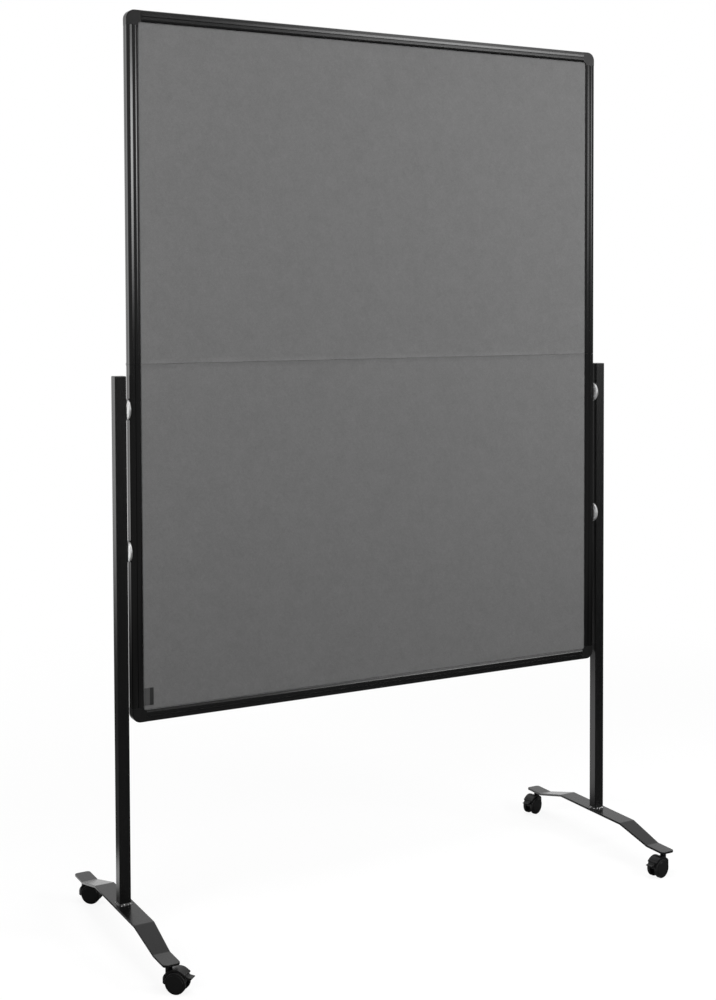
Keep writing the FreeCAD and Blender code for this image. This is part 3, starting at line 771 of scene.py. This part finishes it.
# %% [markdown]
# ## Clamp wheels
# The board is clamped by four flat turned wheels in the gap beside the posts. Their rims are turned
# round and smooth. A profile spun round the axis would make them too, but on a cylinder one number
# sets the rim, so a cylinder gets its rims bevelled in many small steps. Its faces are inset in
# steps for a turned groove, and the last inset is opened and bridged for the stud's hole. The wheel
# is modelled once at the origin, with its axis along x, and copied to the four places.

# %% Helpers for round pieces
def copied(master, name, place):
    """A copy with its own mesh, moved to its place and left at the origin."""
    fresh_start()
    master.select_set(True)
    bpy.context.view_layer.objects.active = master
    bpy.ops.object.duplicate(linked=False)
    piece = bpy.context.object
    piece.matrix_world = place
    return started(name)


def mark_turning(piece):
    """Keeps each point's place about the axis, for finishes that run round it."""
    marks = piece.data.attributes.new("turning", "FLOAT_VECTOR", "POINT")
    for mark, point in zip(marks.data, piece.data.vertices):
        mark.vector = point.co


print("helpers for round pieces ready")

# %% Clamp wheel
flat_on = 0.999
rim_round = 0.0027
low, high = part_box("clamp_wheel_upper_left")
wheel_radius = (high.z - low.z) / 2
wheel_width = high.x - low.x
stud_hole = 0.00405
fresh_start()
bpy.ops.mesh.primitive_cylinder_add(
    vertices=120, radius=wheel_radius, depth=wheel_width, rotation=(0.0, math.pi / 2, 0.0))
wheel = started("clamp_wheel_master")
bpy.ops.object.mode_set(mode="EDIT")
pick(wheel, "EDGE", lambda edge: any(abs(face.normal.x) > flat_on for face in edge.link_faces))
bpy.ops.mesh.bevel(offset=rim_round, segments=7, profile=0.5, affect="EDGES")
pick(wheel, "FACE", lambda face: abs(face.normal.x) > flat_on)
groove_steps = ((0.0030, 0.0), (0.0003, -0.0003), (0.0008, 0.0), (0.0003, 0.0003))
for thickness, depth in groove_steps:
    bpy.ops.mesh.inset(thickness=thickness, depth=depth)
inner_edge = wheel_radius - rim_round - sum(thickness for thickness, depth in groove_steps)
bpy.ops.mesh.inset(thickness=inner_edge - stud_hole, depth=0.0)
bpy.ops.mesh.delete(type="FACE")
pick(wheel, "EDGE", lambda edge: edge.is_boundary)
bpy.ops.mesh.bridge_edge_loops()
face_outwards()
finished(wheel, [turned_metal], 30.0)
mark_turning(wheel)
print("clamp wheel:", len(wheel.data.polygons), "faces, radius", round(wheel_radius, 4))

# %% Four clamp wheels
for name in [name for name in nodes if name.startswith("clamp_wheel")]:
    low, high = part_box(name)
    middle = Matrix.Translation((low + high) / 2)
    piece = copied(wheel, name.replace("clamp_wheel", "clamp_turned"), middle)
    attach(piece, name.replace("_wheel", ""))
    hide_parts(name)
bpy.data.objects.remove(wheel)
made = [piece.name for piece in scene.objects if piece.name.startswith("clamp_turned")]
print("clamp wheels:", made)

# %% [markdown]
# ## Caster wheels
# A caster has two wheels. Each is moulded in hard plastic with a softer tread round it and a plain
# cap over most of its face. The CAD solid gives the radius, the width and the place, read from its
# points along the joint's axis. The master has its axis along x, with its inner face at the origin,
# and insets make the line of the tread and the cap. All eight are alike, so one master is copied.

# %% Caster wheel sizes
def along_axis(node, joint):
    """The wheel's outward axis, and the nearest and farthest place of its points along it."""
    axis = Vector(joint["axis"]).normalized()
    start = Vector(joint["pos_m"])
    steps = [axis.dot(point.co - start) for point in nodes[node].data.vertices]
    if min(steps) + max(steps) < 0:
        return -axis, -max(steps), -min(steps)
    return axis, min(steps), max(steps)


spin_of = {joint["child"]: joint for joint in frame["joints"] if joint["name"].endswith("_spin")}
first = next(iter(spin_of))
_, inner, outer = along_axis(first, spin_of[first])
tread_radius = (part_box(first)[1].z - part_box(first)[0].z) / 2
print("caster wheel: radius", round(tread_radius, 4), "width", round(outer - inner, 4))

# %% Caster wheel
cap_step = 0.0006
cap_slope = 0.0005
cap_rim = 0.0060
tread_wall = 0.0034
tread_round = 0.0016
line_slope, line_depth, line_width = 0.0002, 0.0005, 0.0004
hub_step = 0.0004
bore = 0.00255
face_wall = 0.0025
tyre_width = outer - inner - cap_step
fresh_start()
bpy.ops.mesh.primitive_cylinder_add(
    vertices=64, radius=tread_radius, depth=tyre_width,
    location=(tyre_width / 2, 0.0, 0.0), rotation=(0.0, math.pi / 2, 0.0))
roller = started("caster_wheel_master")
bpy.ops.object.mode_set(mode="EDIT")
pick(roller, "EDGE", lambda edge: any(abs(face.normal.x) > mostly for face in edge.link_faces))
bpy.ops.mesh.bevel(offset=tread_round, segments=4, profile=0.5, affect="EDGES")
pick(roller, "FACE", lambda face: face.normal.x > flat_on)
insets = (
    (tread_wall - tread_round, 0.0),
    (line_slope, -line_depth), (line_width, 0.0), (line_slope, line_depth), (line_width, 0.0),
    (cap_slope, cap_step), (cap_rim, 0.0))
for thickness, depth in insets:
    bpy.ops.mesh.inset(thickness=thickness, depth=depth)
pick(roller, "FACE", lambda face: face.normal.x < -flat_on)
bpy.ops.mesh.inset(thickness=tread_wall - tread_round, depth=0.0)
bpy.ops.mesh.inset(thickness=hub_step, depth=-hub_step)
bpy.ops.mesh.inset(thickness=tread_radius - tread_wall - hub_step - bore, depth=0.0)
bore_depth = outer - inner - face_wall - hub_step
bpy.ops.mesh.extrude_region_move(TRANSFORM_OT_translate={"value": (bore_depth, 0.0, 0.0)})
face_outwards()
finished(roller, [caster_plastic, tread_rubber], 30.0)
for face in roller.data.polygons:
    spread = min(math.hypot(*roller.data.vertices[index].co.yz) for index in face.vertices)
    face.material_index = 1 if spread > tread_radius - tread_wall - near else 0
print("caster wheel:", len(roller.data.polygons), "faces")

# %% Eight caster wheels
for name, joint in spin_of.items():
    axis, inner, outer = along_axis(name, joint)
    turn = Vector((1.0, 0.0, 0.0)).rotation_difference(axis).to_matrix().to_4x4()
    piece = copied(roller, name.replace("_wheel_", "_roller_"),
                   Matrix.Translation(Vector(joint["pos_m"]) + axis * inner) @ turn)
    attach(piece, name)
    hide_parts(name)
bpy.data.objects.remove(roller)
print("caster wheels:", len(spin_of))

# %% [markdown]
# ## Hinge screws
# Each hinge leaf on the back of the frame is held by two screws with raised heads. A short cylinder
# is bevelled into a dome, and two Boolean modifiers cut the cross for the driver, one for each of
# two crossed bars. Insets couldn't follow a cross over the dome's many small faces.

# %% Screw head
head_radius = 0.0033
head_height = 0.0009
dome_share = 0.85
fresh_start()
bpy.ops.mesh.primitive_cylinder_add(
    vertices=40, radius=head_radius, depth=head_height,
    location=(0.0, head_height / 2, 0.0), rotation=(-math.pi / 2, 0.0, 0.0))
screw = started("screw_master")
bpy.ops.object.mode_set(mode="EDIT")
pick(screw, "EDGE", lambda edge: all(point.co.y > head_height - near for point in edge.verts))
bpy.ops.mesh.bevel(offset=head_height * dome_share, segments=5, profile=0.5, affect="EDGES")
finished(screw, [blackened_steel], 40.0)
print("screw head:", len(screw.data.polygons), "faces")

# %% Cross for the driver
cross_width = 0.0010
cross_length = 0.0036
cross_depth = 0.0007
cross_taper = 0.7
fresh_start()
bpy.ops.mesh.primitive_cube_add(size=1.0, location=(0.0, head_height, 0.0))
bpy.context.object.scale = (cross_length, 2 * cross_depth, cross_width)
cutter = started("cross_cutter")
bpy.ops.object.mode_set(mode="EDIT")
pick(cutter, "FACE", lambda face: face.normal.y < -mostly)
bpy.ops.transform.resize(
    value=(cross_taper, 1.0, cross_taper), center_override=(0.0, head_height - cross_depth, 0.0))
bpy.ops.object.mode_set(mode="OBJECT")
other_bar = copied(cutter, "cross_cutter_turned", Matrix.Rotation(math.pi / 2, 4, "Y"))
for bar in (cutter, other_bar):
    cut = screw.modifiers.new("cross", "BOOLEAN")
    cut.operation = "DIFFERENCE"
    cut.object = bar
    apply_modifier(screw, cut.name)
    bpy.data.objects.remove(bar)
print("screw head with its cross:", len(screw.data.polygons), "faces")

# %% Eight hinge screws
screw_steps = (0.0115, 0.0245)
screw_turns = {"left": 40, "right": 5}
turn_step = 23
leaf_points = [point.co for point in nodes["hinge_leaves_lower"].data.vertices]
leaf_end = min(point.z for point in leaf_points)
leaf_face = max(point.y for point in leaf_points if point.z < leaf_end + near)
fold = next(joint for joint in frame["joints"] if joint["name"] == "board_fold")
fold_height = fold["pos_m"][2]
hinge_x = (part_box("stile_lower_left")[0].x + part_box("stile_lower_left")[1].x) / 2
for half, way, body in (("lower", -1, "stand"), ("upper", 1, "upper_half")):
    for side, x in (("left", hinge_x), ("right", -hinge_x)):
        for number, step in enumerate(screw_steps, 1):
            spot = Matrix.Translation((x, leaf_face, fold_height + way * step))
            turn = math.radians(turn_step * number + screw_turns[side])
            twist = Matrix.Rotation(turn, 4, "Y")
            piece = copied(screw, f"hinge_screw_{half}_{side}_{number}", spot @ twist)
            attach(piece, body)
bpy.data.objects.remove(screw)
made = [piece.name for piece in scene.objects if piece.name.startswith("hinge_screw")]
print("hinge screws:", len(made))
